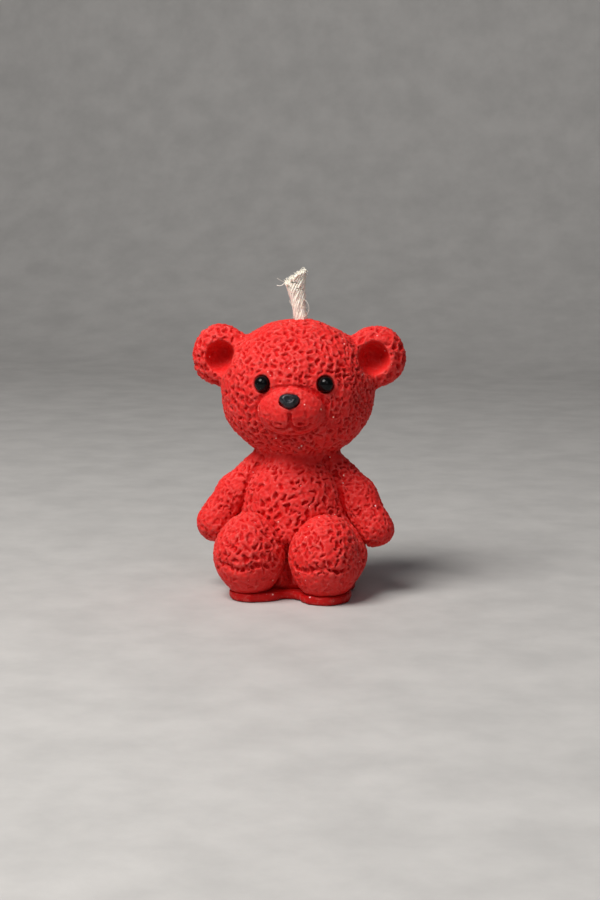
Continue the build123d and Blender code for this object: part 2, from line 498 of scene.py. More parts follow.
@dataclass
class WaxFigure:
    """The cast wax figure: head, ears, muzzle, torso, arms and legs in one pour."""

    step: float = 0.28
    margin: float = 2.5
    foot_z: float = 1.1
    bore: float = 1.45

    belly: Triple = (0, -0.8, 11.0)
    belly_radii: Triple = (15.9, 14.6, 13.5)
    chest: Triple = (0, -0.6, 22.0)
    chest_radii: Triple = (13.4, 12.2, 12.5)
    neck_low: Triple = (0, 1.0, 28.0)
    neck_high: Triple = (0, 1.0, 38.0)
    neck_radius: float = 9.2

    ear: Triple = (18.4, 1.2, 55.6)
    ear_radii: Triple = (7.1, 4.4, 7.3)
    ear_cup_radii: Triple = (3.6, 6.0, 3.85)
    ear_cup_inward: float = 0.5
    ear_cup_forward: float = 4.3
    ear_outward: float = 4.0

    shoulder: Triple = (6.9, -1.0, 29.6)
    elbow: Triple = (14.6, -2.4, 22.7)
    hand: Triple = (19.3, -4.8, 15.8)
    arm_radii: Triple = (4.7, 4.7, 4.5)

    foot: Triple = (8.9, -13.6, 10.3)
    foot_radii: Triple = (8.3, 8.8, 9.9)
    thigh: Triple = (8.6, -6.6, 9.8)
    thigh_radii: Triple = (8.9, 13.0, 8.9)
    splay: float = 15.0
    crease_z: float = 9.0
    crease_half_width: float = 5.6
    crease_radius: float = 0.66

    eye_x: float = 7.5
    eye_shift: float = 0.45     # both eyes sit this far to the right of the face's middle
    eye_z: float = 50.9
    eye_sunk: float = 0.65
    socket_radius: float = 2.0
    nose_x: float = -0.2
    nose_z: float = 47.6
    nose_radii: Triple = (2.35, 1.5, 1.85)

    smile: tuple[float, float] = (2.3, 42.5)
    smile_radii: tuple[float, float] = (2.45, 1.75)
    mouth_radius: float = 0.52
    mouth_sunk: float = 0.14
    line_above: float = 1.9     # the line under the nose, above and below the ends of the smile
    line_below: float = 0.7
    lips: tuple[float, float] = (0.3, 39.9)
    lips_radii: Triple = (1.0, 0.65, 0.5)
    dimple: tuple[float, float] = (2.6, 42.1)
    dimple_radii: Triple = (0.85, 0.65, 0.36)

    coat: Coat = field(default_factory=Coat)

    jowl: Triple = (0, -0.4, 43.5)
    jowl_radii: Triple = (16.8, 13.8, 11.7)
    gap: Triple = (0, -19.0, 7.0)
    gap_radii: Triple = (1.9, 8.0, 9.0)

    def sides(self, point: Triple) -> list[tuple[Side, Triple]]:
        """A right-side point on both sides."""
        return [(side, mirror(point, side)) for side in Side]

    def torso(self, clay: Clay) -> None:
        """Models the pear-shaped torso and the neck.

        Args:
            clay: the space that the figure is modelled in.
        """
        clay.join(clay.ellipsoid(self.belly, self.belly_radii), 1.0)
        clay.join(clay.ellipsoid(self.chest, self.chest_radii), 4.0)
        clay.join(clay.limb(self.neck_low, self.neck_high, self.neck_radius, self.neck_radius), 2.0)

    def legs(self, clay: Clay) -> None:
        """Models the thighs and the round feet.

        Args:
            clay: the space that the figure is modelled in.
        """
        for side, place in self.sides(self.thigh):
            clay.join(clay.ellipsoid(place, self.thigh_radii, side.value * self.splay), 1.6)
        clay.carve(clay.ellipsoid(self.gap, self.gap_radii), 1.6)
        for side, place in self.sides(self.foot):
            clay.crease(clay.ellipsoid(place, self.foot_radii), 0.6, 0.3)

    def arms(self, clay: Clay) -> None:
        """Models the bent arms, which hang at the sides with the hands forward.

        Args:
            clay: the space that the figure is modelled in.
        """
        for side in Side:
            shoulder, elbow, hand = (mirror(p, side) for p in (self.shoulder, self.elbow, self.hand))
            arm = Clay(clay.low, clay.high, clay.step)
            arm.join(arm.limb(shoulder, elbow, *self.arm_radii[:2]), 1.0)
            arm.join(arm.limb(elbow, hand, *self.arm_radii[1:]), 1.5)
            clay.crease(arm.distance, 0.5, 0.42)

    def head(self, clay: Clay) -> None:
        """Models the head with its muzzle and ears.

        Args:
            clay: the space that the figure is modelled in.
        """
        clay.crease(clay.ellipsoid(spin(HEAD.centre, HEAD.turn), HEAD.radii, HEAD.turn), 0.7, 0.4)
        jowl = clay.ellipsoid(spin(self.jowl, HEAD.turn), self.jowl_radii, HEAD.turn)
        clay.join(jowl, 2.0)
        muzzle = clay.ellipsoid(spin(MUZZLE.centre, MUZZLE.turn), MUZZLE.radii, MUZZLE.turn)
        clay.crease(muzzle, 1.0, 0.40)
        for side, place in self.sides(self.ear):
            turn = HEAD.turn + side.value * self.ear_outward
            clay.join(clay.ellipsoid(spin(place, HEAD.turn), self.ear_radii, turn), 1.8)
        for side in Side:
            clay.carve(clay.ellipsoid(self.cup_place(side), self.ear_cup_radii, HEAD.turn), 1.2)

    def cup_place(self, side: Side) -> Triple:
        """The middle of an ear's cup.

        Args:
            side: the side that the ear is on.

        Returns:
            The place, turned with the head.
        """
        x, y, z = mirror((self.ear[0] - self.ear_cup_inward, *self.ear[1:]), side)
        outward = math.radians(side.value * self.ear_outward)
        aside, ahead = self.ear_cup_forward * math.sin(outward), self.ear_cup_forward * math.cos(outward)
        return spin((x + aside, y - ahead, z), HEAD.turn)

    def eye_place(self, side: Side) -> tuple[Triple, Triple]:
        """The middle of an eye's flat back, and the direction that the eye looks in."""
        return HEAD.front(side.value * self.eye_x + self.eye_shift, self.eye_z, -self.eye_sunk)

    def nose_place(self) -> tuple[Triple, Triple]:
        """The middle of the nose's back, and the direction that it faces."""
        return MUZZLE.front(self.nose_x, self.nose_z, -0.8)

    def sockets(self, clay: Clay) -> None:
        """Presses in the recesses for the eyes and the nose.

        Args:
            clay: the space that the figure is modelled in.
        """
        for side in Side:
            place, _ = self.eye_place(side)
            clay.carve(clay.ellipsoid(place, (self.socket_radius,) * 3), 0.5)
        clay.carve(clay.ellipsoid(self.nose_place()[0], self.nose_radii, MUZZLE.turn), 0.5)

    def groove(self, clay: Clay, route: list[Triple], radius: float) -> None:
        """Carves a line along a route of points.

        Args:
            clay: the space that the figure is modelled in.
            route: the points, in order.
            radius: the line's radius.
        """
        line = Clay(clay.low, clay.high, clay.step)
        for start, end in zip(route, route[1:]):
            line.distance = np.minimum(line.distance, line.limb(start, end, radius, radius))
        clay.carve(line.distance, 0.15)

    def mouth(self, clay: Clay) -> None:
        """Carves the line under the nose and the two arcs of the smile.

        Args:
            clay: the space that the figure is modelled in.
        """
        across, up = self.smile_radii
        heights = np.linspace(self.smile[1] + self.line_above, self.smile[1] - self.line_below, 6)
        line = [MUZZLE.front(0, z, -self.mouth_sunk)[0] for z in heights]
        self.groove(clay, line, self.mouth_radius * 0.85)
        for side in Side:
            arc = []
            for degrees in range(190, 343, 12):
                angle = math.radians(degrees)
                x = side.value * (self.smile[0] + across * math.cos(angle))
                arc.append(MUZZLE.front(x, self.smile[1] + up * math.sin(angle), -self.mouth_sunk)[0])
            self.groove(clay, arc, self.mouth_radius)
            dimple = MUZZLE.front(side.value * self.dimple[0], self.dimple[1])[0]
            clay.carve(clay.ellipsoid(dimple, self.dimple_radii, MUZZLE.turn), 0.3)
        clay.carve(clay.ellipsoid(MUZZLE.front(*self.lips)[0], self.lips_radii, MUZZLE.turn), 0.3)

    def creases(self, clay: Clay) -> None:
        """Carves the sole's crease across each foot, as a row of long nicks.

        Args:
            clay: the space that the figure is modelled in.
        """
        for side, place in self.sides(self.foot):
            route = []
            for part in np.linspace(-1.0, 1.0, 13):
                x = part * self.crease_half_width
                up = self.crease_z + 0.45 * math.sin(4 * part + side.value)
                across, rise = x / self.foot_radii[0], (up - place[2]) / self.foot_radii[2]
                y = place[1] - self.foot_radii[1] * math.sqrt(1 - across**2 - rise**2)
                depth = self.crease_radius * (0.62 + 0.38 * math.sin(5.2 * part + 1.3 * side.value) ** 2)
                route.append((place[0] + x, y + 0.25 * depth, up, depth))
            for start, end in zip(route, route[1:]):
                clay.carve(clay.limb(start[:3], end[:3], start[3], end[3]), 0.2)

    def model(self) -> tuple[Array, Array]:
        """Models the plain figure.

        Returns:
            Its points and its quads.
        """
        low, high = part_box("wax_body")
        lows = tuple(value / MM - self.margin for value in low)
        highs = tuple(value / MM + self.margin for value in high)
        clay = Clay(lows, highs, self.step)
        for work in (self.torso, self.legs, self.arms, self.head, self.mouth, self.creases, self.sockets):
            work(clay)
        clay.carve(clay.upright((0.0, 0.0), self.bore), 0.3)
        clay.keep(self.foot_z - clay.z, 0.5)
        return clay.skin()

    def near(self, points: Array, centre: Triple, inner: float, outer: float) -> Array:
        """1 within the inner distance of a place, falling to 0 at the outer distance."""
        return 1.0 - smoothstep(inner, outer, np.linalg.norm(points - np.array(centre), axis=1))

    def coat_plan(self, points: Array) -> CoatPlan:
        """Where the coat is coarse or fine, deep or smooth, and how wide its ridges are.

        Args:
            points: the skin's points.

        Returns:
            The plan.
        """
        x, y, z = points.T
        spacing = np.full(len(points), self.coat.spacing)
        strength = np.ones(len(points))
        ridge = np.full(len(points), 0.35)
        chest = self.near(points, (0, -12.0, 24.0), 6.0, 11.0)
        spacing += 0.25 * chest
        ridge += 0.45 * chest
        cheek = self.near(points, spin((11.0, -10.0, 46.0), HEAD.turn), 5.0, 9.0)
        spacing -= 0.35 * cheek
        ridge -= 0.35 * cheek
        for side in Side:
            arm = np.maximum(
                self.near(points, mirror(self.elbow, side), 5.0, 7.0),
                self.near(points, mirror(self.hand, side), 5.0, 7.0),
            )
            spacing -= 0.45 * arm
            strength *= 1.0 - 0.3 * arm
            cup = np.linalg.norm((points - np.array(self.cup_place(side))) / self.ear_cup_radii, axis=1)
            strength *= smoothstep(1.0, 1.14, cup)
            strength *= 1.0 - 0.9 * self.near(points, self.eye_place(side)[0], 2.5, 3.3)
            sole = self.near(points, mirror(self.foot, side), 9.5, 12.0) * (1 - smoothstep(7.2, 8.4, z))
            strength *= 1.0 - 0.6 * sole
        away = (points - np.array(spin(MUZZLE.centre, MUZZLE.turn))) / MUZZLE.radii
        muzzle = 1.0 - smoothstep(1.0, 1.12, np.linalg.norm(away, axis=1))
        spacing -= 0.5 * muzzle
        strength *= 1.0 - 0.66 * muzzle
        neck = smoothstep(31.0, 31.8, z) * (1 - smoothstep(33.0, 34.0, z)) * (np.hypot(x, y) < 14.0)
        strength *= 1.0 - 0.9 * neck
        strength *= smoothstep(2.2, 4.0, z)
        strength *= smoothstep(1.7, 3.2, np.hypot(x, y))
        return CoatPlan(spacing, strength, ridge)

    def build(self, material: bpy.types.Material) -> bpy.types.Object:
        """Makes the figure with its coat, and dresses it.

        Args:
            material: its wax finish.

        Returns:
            The finished piece.
        """
        points, quads = self.model()
        piece = make_object("wax_figure", points, quads)
        mesh = piece.data
        normals = vertex_rows(mesh, "normal")
        if float(np.einsum("ij,ij->i", points - points.mean(axis=0), normals).mean()) < 0:
            mesh.flip_normals()
            normals = -normals
        points = points.astype(float)
        height = self.coat.press(points, normals, self.coat_plan(points))
        mesh.vertices.foreach_set("co", ((points + normals * height[:, None]) * MM).ravel())
        mesh.update()
        mark_relief(mesh)
        finish_piece(piece, material, "red_wax", "wax_body")
        return piece


@dataclass
class BasePour:
    """The second pour under the bear: a thin foot with two lobes, its rim a little uneven."""

    step: float = 0.24
    margin: float = 1.2
    thickness: float = 2.0
    seat: tuple[float, float] = (0.0, -0.4)
    seat_radius: float = 13.8
    lobe: tuple[float, float] = (8.3, -13.2)
    lobe_radius: float = 6.2
    lobe_shift: float = 0.6     # both lobes sit this far to the right
    notch: float = 1.8
    edge: float = 0.40
    lower_edge: float = 0.96
    wander: float = 0.28
    bore: float = 1.45

    def outline(self, clay: Clay) -> Array:
        """Distances to the uneven outline, as if it had no top and no bottom.

        Args:
            clay: the space that the foot is modelled in.

        Returns:
            One distance for each grid point, negative inside.
        """
        flat = Clay(clay.low, clay.high, clay.step)
        flat.join(flat.upright(self.seat, self.seat_radius), self.notch)
        for side in Side:
            middle = (side.value * self.lobe[0] + self.lobe_shift, self.lobe[1])
            flat.join(flat.upright(middle, self.lobe_radius), self.notch)
        across, along = np.meshgrid(clay.x.ravel(), clay.y.ravel(), indexing="ij")
        spots = np.stack([across.ravel(), along.ravel(), np.zeros(across.size)], axis=1)
        wave = Waves(7.0, seed=SEED + 5).at(spots) + 0.4 * Waves(2.2, seed=SEED + 6).at(spots)
        return flat.distance + self.wander * wave.reshape(across.shape)[:, :, None]

    def build(self, material: bpy.types.Material) -> bpy.types.Object:
        """Makes the foot and dresses it.

        Args:
            material: its wax finish, a darker copy of the figure's wax that paints the shade under the bear.

        Returns:
            The finished piece.
        """
        low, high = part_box("base_pour")
        lows = tuple(value / MM - self.margin for value in low)
        highs = tuple(value / MM + self.margin for value in high)
        clay = Clay(lows, highs, self.step)
        clay.join(self.outline(clay), 0.1)
        clay.keep(clay.z - self.thickness, self.edge)
        clay.keep(-clay.z, self.lower_edge)
        clay.carve(clay.upright((0.0, 0.0), self.bore), 0.2)
        points, quads = clay.skin()
        top = smoothstep(0.3, 1.2, points[:, 2])
        points[:, 2] += 0.08 * top * Waves(3.0, seed=SEED + 7).at(points)
        piece = make_object("base_pour", points, quads)
        mark_relief(piece.data)
        finish_piece(piece, material, "red_wax_foot", "base_pour")
        return piece


# ---------------------------------------------------------------- the wick


@dataclass
class Bundle:
    """Mesh parts gathered into one piece."""

    points: list[Array] = field(default_factory=list)
    faces: list[list[int]] = field(default_factory=list)
    count: int = 0

    def add(self, points: Array, faces: list[list[int]]) -> None:
        """Adds one part, whose faces number its own points from 0.

        Args:
            points: the part's points.
            faces: the part's faces.
        """
        self.faces.extend([[number + self.count for number in face] for face in faces])
        self.points.append(points)
        self.count += len(points)

    def tube(self, route: Array, radii: Array, sides: int) -> None:
        """Adds a round tube along a route, closed at both ends.

        Args:
            route: its centre line, one row for each ring.
            radii: its radius at each ring.
            sides: how many points each ring has.
        """
        ahead = unit(np.gradient(route, axis=0))
        helper = np.where(np.abs(ahead[:, 2:3]) > 0.9, [[1.0, 0.0, 0.0]], [[0.0, 0.0, 1.0]])
        aside = unit(np.cross(ahead, helper))
        above = np.cross(aside, ahead)
        angles = np.arange(sides) * math.tau / sides
        ring = aside[:, None] * np.cos(angles)[:, None] + above[:, None] * np.sin(angles)[:, None]
        points = (route[:, None] + ring * radii[:, None, None]).reshape(-1, 3)
        faces = []
        for row in range(len(route) - 1):
            start = row * sides
            for turn in range(sides):
                after = (turn + 1) % sides
                faces.append([start + turn, start + sides + turn, start + sides + after, start + after])
        last = (len(route) - 1) * sides
        faces.append(list(range(sides)))
        faces.append([last + turn for turn in reversed(range(sides))])
        self.add(points, faces)

    def build(self, name: str) -> bpy.types.Object:
        """Makes the object."""
        return make_object(name, np.concatenate(self.points), self.faces)


@dataclass
class CottonWick:
    """A cotton wick of twisted yarns: straight through the wax, then a leaning stub with a slanted cut."""

    low_z: float = 0.35
    bend_z: float = 62.0
    bend_radius: float = 14.0
    lean: float = 9.0
    tip_x: float = -1.75
    tip_z: float = 73.7
    slope: float = 34.0
    pitch: float = 21.0
    rings: tuple[tuple[int, float, float], ...] = ((21, 1.27, 0.26), (13, 0.84, 0.28), (6, 0.40, 0.28))
    flare_z: float = 66.0
    flare: float = 0.75
    ragged: float = 0.5
    tuft_fibres: int = 420
    shift: float = 0.9          # how far the top of the bore lies to the right of the axis
    side_fibres: int = 420
    sides: int = 7

    def centre(self, length: Array) -> Array:
        """The wick's centre line, by the length along it.

        Args:
            length: the lengths, from the underside.

        Returns:
            One point for each length.
        """
        bent = np.clip((length - self.bend_z) / self.bend_radius, 0.0, math.radians(self.lean))
        past = np.maximum(length - self.bend_z - self.bend_radius * math.radians(self.lean), 0.0)
        x = -self.bend_radius * (1 - np.cos(bent)) - past * np.sin(bent)
        x = x + self.shift * smoothstep(50.0, 62.0, length)
        z = np.minimum(length, self.bend_z) + self.bend_radius * np.sin(bent) + past * np.cos(bent)
        return np.stack([x, np.zeros_like(x), z], axis=-1)

    def cut_height(self, points: Array) -> Array:
        """How far each point lies above the slanted cut."""
        return points[:, 2] - self.tip_z - (points[:, 0] - self.tip_x) * math.tan(math.radians(self.slope))

    def strand(self, start: float, ring: float, dice: np.random.Generator) -> Array:
        """One yarn's centre line, which ends near the cut.

        Args:
            start: the angle that it starts at.
            ring: its distance from the wick's middle.
            dice: the source of chance.

        Returns:
            Its points, in order.
        """
        length = np.concatenate([np.arange(self.low_z, 60.0, 2.0), np.arange(60.0, 80.0, 0.3)])
        angle = start + length * (math.tau / self.pitch)
        rise = np.maximum(length - self.flare_z, 0.0) / (self.tip_z - self.flare_z)
        spread = 1.0 + self.flare * rise**1.6
        sway = 0.10 * np.sin(length * dice.uniform(0.9, 1.6) + dice.uniform(0, math.tau))
        out = ring * spread + sway * (ring > 0.8) * (length > 60)
        middle = self.centre(length)
        route = middle + np.stack([out * np.cos(angle), out * np.sin(angle), 0 * out], axis=-1)
        kept = self.cut_height(route) < dice.uniform(-1, 1) * self.ragged
        return route[kept]

    def fibre(
        self, start: Array, way: Array, length: float, curl: float, dice: np.random.Generator
    ) -> Array:
        """A loose fibre's centre line.

        Args:
            start: where it begins.
            way: the direction that it sets off in.
            length: its length.
            curl: how strongly it curls.
            dice: the source of chance.

        Returns:
            Its points, in order.
        """
        turn = unit(dice.normal(size=3)) * curl
        steps = [start]
        for _ in range(9):
            steps.append(steps[-1] + way * length / 9)
            way = unit(way + np.cross(turn, way) / 9)
        return np.array(steps)

    def fuzz(self, bundle: Bundle, tips: Array, dice: np.random.Generator) -> None:
        """Adds the brush of cut fibres at the top and the loose ones along the stub.

        Args:
            bundle: the parts so far.
            tips: the ends of the yarns.
            dice: the source of chance.
        """
        normal = unit(np.array([-math.tan(math.radians(self.slope)), 0.0, 1.0]))
        for _ in range(self.tuft_fibres):
            tip = tips[dice.integers(len(tips))] + dice.normal(0, 0.24, 3)
            way = unit(normal + dice.normal(0, 0.55, 3) + np.array([-0.25, 0, 0]))
            line = self.fibre(tip - way * 0.5, way, dice.uniform(0.6, 1.25), dice.uniform(0, 2.0), dice)
            bundle.tube(line, np.linspace(0.11, 0.04, len(line)), 4)
        for _ in range(self.side_fibres):
            middle = self.centre(np.array([dice.uniform(64.5, 73.5)]))[0]
            angle = dice.uniform(0, math.tau)
            out = np.array([math.cos(angle), math.sin(angle), 0.0])
            way = unit(0.8 * out + np.array([0, 0, dice.normal(0.4, 0.5)]))
            line = self.fibre(middle + out * 1.35, way, dice.uniform(0.4, 1.3), dice.uniform(1.0, 6.0), dice)
            bundle.tube(line, np.linspace(0.040, 0.020, len(line)), 4)

    def loops(self, bundle: Bundle) -> None:
        """Adds the long stray fibres: two loops beside the stub and a tail at the low end of the cut.

        Args:
            bundle: the parts so far.
        """
        routes = [
            (
                [
                    (0.3, -0.9, 73.6), (0.9, -1.2, 72.8),
                    (1.3, -1.3, 71.6), (1.2, -1.3, 70.4), (0.9, -1.1, 69.7),
                ],
                0.055,
            ),
            (
                [
                    (0.9, -1.0, 69.4), (2.2, -1.3, 69.0),
                    (3.0, -1.5, 67.5), (2.7, -1.5, 65.9), (1.6, -1.4, 64.9),
                ],
                0.045,
            ),
            ([(1.1, -1.0, 64.6), (1.7, -1.3, 64.9), (2.1, -1.5, 65.4), (2.2, -1.5, 65.6)], 0.06),
            ([(-3.0, -0.9, 72.9), (-3.8, -1.0, 72.3), (-4.6, -1.0, 72.3), (-4.9, -1.0, 72.4)], 0.085),
            ([(-3.2, -0.9, 73.2), (-4.0, -1.1, 73.6), (-4.8, -1.2, 74.1)], 0.03),
        ]
        for knots, thickness in routes:
            coarse = np.linspace(0, 1, len(knots))
            fine = np.linspace(0, 1, 25)
            line = np.stack([np.interp(fine, coarse, axis) for axis in np.array(knots).T], axis=-1)
            for _ in range(6):
                line[1:-1] = (line[:-2] + 2 * line[1:-1] + line[2:]) / 4
            bundle.tube(line, np.full(len(line), thickness), 5)

    def build(self, material: bpy.types.Material) -> bpy.types.Object:
        """Makes the wick and dresses it.

        Args:
            material: the cotton finish.

        Returns:
            The finished piece.
        """
        dice = np.random.default_rng(SEED + 30)
        bundle = Bundle()
        tips = []
        for count, ring, thickness in self.rings:
            for number in range(count):
                route = self.strand(math.tau * number / count + ring, ring, dice)
                wave = 1.0 + 0.07 * np.sin(np.arange(len(route)) * 0.9 + number)
                radii = thickness * wave * (1.0 + 0.35 * smoothstep(self.flare_z, self.tip_z, route[:, 2]))
                radii[-1] *= 0.6
                bundle.tube(route, radii, self.sides)
                tips.append(route[-1])
        self.fuzz(bundle, np.array(tips), dice)
        self.loops(bundle)
        piece = bundle.build("cotton_wick")
        finish_piece(piece, material, "cotton_wick", "wick")
        return piece


# ---------------------------------------------------------------- the buttons


@dataclass
class Button:
    """A small pressed button on a pin, turned from a profile about the way that it faces."""

    name: str
    node: str
    place: Triple
    facing: Triple
    half_width: float
    half_height: float
    depth: float
    corner: float           # how triangular it is: 0 is round
    dimple: float = 0.0
    dimple_share: float = 0.52  # how far out the dimple reaches
    pin_radius: float = 0.6
    pin_length: float = 2.6
    segments: int = 72

    def profile(self) -> list[tuple[float, float]]:
        """The profile, as shares of the half size and heights above the back.

        Returns:
            The rows, from the end of the pin to the middle of the face.
        """
        pin = self.pin_radius / self.half_width
        end = -self.pin_length
        rows = [(0.0, end), (pin * 0.8, end), (pin, end + 0.2), (pin, 0.0)]
        rows += [(0.94, 0.0), (0.99, 0.05 * self.depth)]
        for step in range(1, 15):
            angle = math.radians(90 * step / 14)
            share, height = math.cos(angle), math.sin(angle)
            if self.corner:
                share, height = share**0.62, height**0.8
            pressed = self.dimple * (1 - smoothstep(0.0, self.dimple_share, np.float64(share)))
            rows.append((share, self.depth * height - pressed))
        return rows

    def outline(self, angle: float, share: float) -> tuple[float, float]:
        """The place across the face, at an angle and a share of the way out.

        Args:
            angle: the angle from the bear's left ear side, in radians.
            share: 0 in the middle and 1 at the edge.

        Returns:
            The distances across and up.
        """
        amount = self.corner * smoothstep(0.15, 0.9, np.float64(share))
        across, up = math.cos(angle), math.sin(angle)
        swell = 1.0 + 0.05 * amount * math.sin(3 * angle) + 0.03 * amount * math.cos(2 * angle)
        narrow = 1.0 + 0.14 * amount * up
        return share * self.half_width * across * swell * narrow, share * self.half_height * up * swell

    def build(self, material: bpy.types.Material) -> bpy.types.Object:
        """Makes the button and dresses it.

        Args:
            material: its black finish.

        Returns:
            The finished piece.
        """
        out = Vector(self.facing).normalized()
        across = Vector((0, 0, 1)).cross(out).normalized()
        up = out.cross(across)
        rows = self.profile()
        points = []
        for share, height in rows:
            for number in range(self.segments):
                x, y = self.outline(math.tau * number / self.segments, share)
                points.append(Vector(self.place) + across * x + up * y + out * height)
        faces = []
        for row in range(len(rows) - 1):
            for number in range(self.segments):
                after = (number + 1) % self.segments
                low, high = row * self.segments, (row + 1) * self.segments
                faces.append([low + number, low + after, high + after, high + number])
        piece = make_object(self.name, np.array(points), faces)
        modelled = bmesh.new()
        modelled.from_mesh(piece.data)
        bmesh.ops.remove_doubles(modelled, verts=modelled.verts, dist=0.002 * MM)
        modelled.to_mesh(piece.data)
        modelled.free()
        finish_piece(piece, material, "black_button", self.node)
        return piece


# ---------------------------------------------------------------- finishes


Socket = bpy.types.NodeSocket
Value = float | tuple | Socket


@dataclass
class Graph:
    """A node tree that is being wired."""

    tree: bpy.types.NodeTree

    def node(
        self, kind: str, inputs: dict[str | int, Value] | None = None, **settings: object
    ) -> bpy.types.Node:
        """Adds a node.

        Args:
            kind: its type, without the "ShaderNode" in front.
            inputs: what each input takes, a constant or another node's output.
            settings: its own settings.

        Returns:
            The node.
        """
        made = self.tree.nodes.new("ShaderNode" + kind)
        for key, value in settings.items():
            setattr(made, key, value)
        for key, value in (inputs or {}).items():
            self.feed(made.inputs[key], value)
        return made

    def feed(self, socket: Socket, value: Value) -> None:
        """Sets an input to a constant, or links it to an output.

        Args:
            socket: the input.
            value: a constant or another node's output.
        """
        if isinstance(value, bpy.types.NodeSocket):
            self.tree.links.new(value, socket)
        else:
            socket.default_value = value

    def noise(self, place: Socket, scale: Value, detail: float = 3.0, roughness: float = 0.55) -> Socket:
        """Soft noise, near 0.5 on average."""
        inputs = {"Vector": place, "Scale": scale, "Detail": detail, "Roughness": roughness}
        return self.node("TexNoise", inputs).outputs["Fac"]

    def ramp(self, value: Value, low: Value, high: Value, start: Value = 0.0, end: Value = 1.0) -> Socket:
        """Maps a value smoothly from one range to another.

        Args:
            value: the value.
            low: where the range starts.
            high: where it ends.
            start: the result at and below low.
            end: the result at and above high.

        Returns:
            The mapped value.
        """
        inputs = {"Value": value, "From Min": low, "From Max": high, "To Min": start, "To Max": end}
        return self.node("MapRange", inputs, interpolation_type="SMOOTHSTEP").outputs["Result"]

    def sum(self, kind: str, first: Value, second: Value) -> Socket:
        """A sum of two values, such as "ADD" or "MULTIPLY"."""
        return self.node("Math", {0: first, 1: second}, operation=kind).outputs[0]

    def mix(self, amount: Value, first: Value, second: Value) -> Socket:
        """Two colours mixed.

        Args:
            amount: the share of the second colour.
            first: the first colour.
            second: the second colour.

        Returns:
            The mixed colour.
        """
        made = self.node("Mix", data_type="RGBA")
        for number, value in ((0, amount), (6, first), (7, second)):
            self.feed(made.inputs[number], value)
        return made.outputs[2]

    def use(self, group: bpy.types.NodeTree, **inputs: Value) -> bpy.types.Node:
        """Adds a shared group, with its named inputs fed.

        Args:
            group: the group.
            inputs: what each input takes, with _ for a space in its name.

        Returns:
            The group node.
        """
        made = self.node("Group")
        made.node_tree = group
        for key, value in inputs.items():
            self.feed(made.inputs[key.replace("_", " ")], value)
        return made


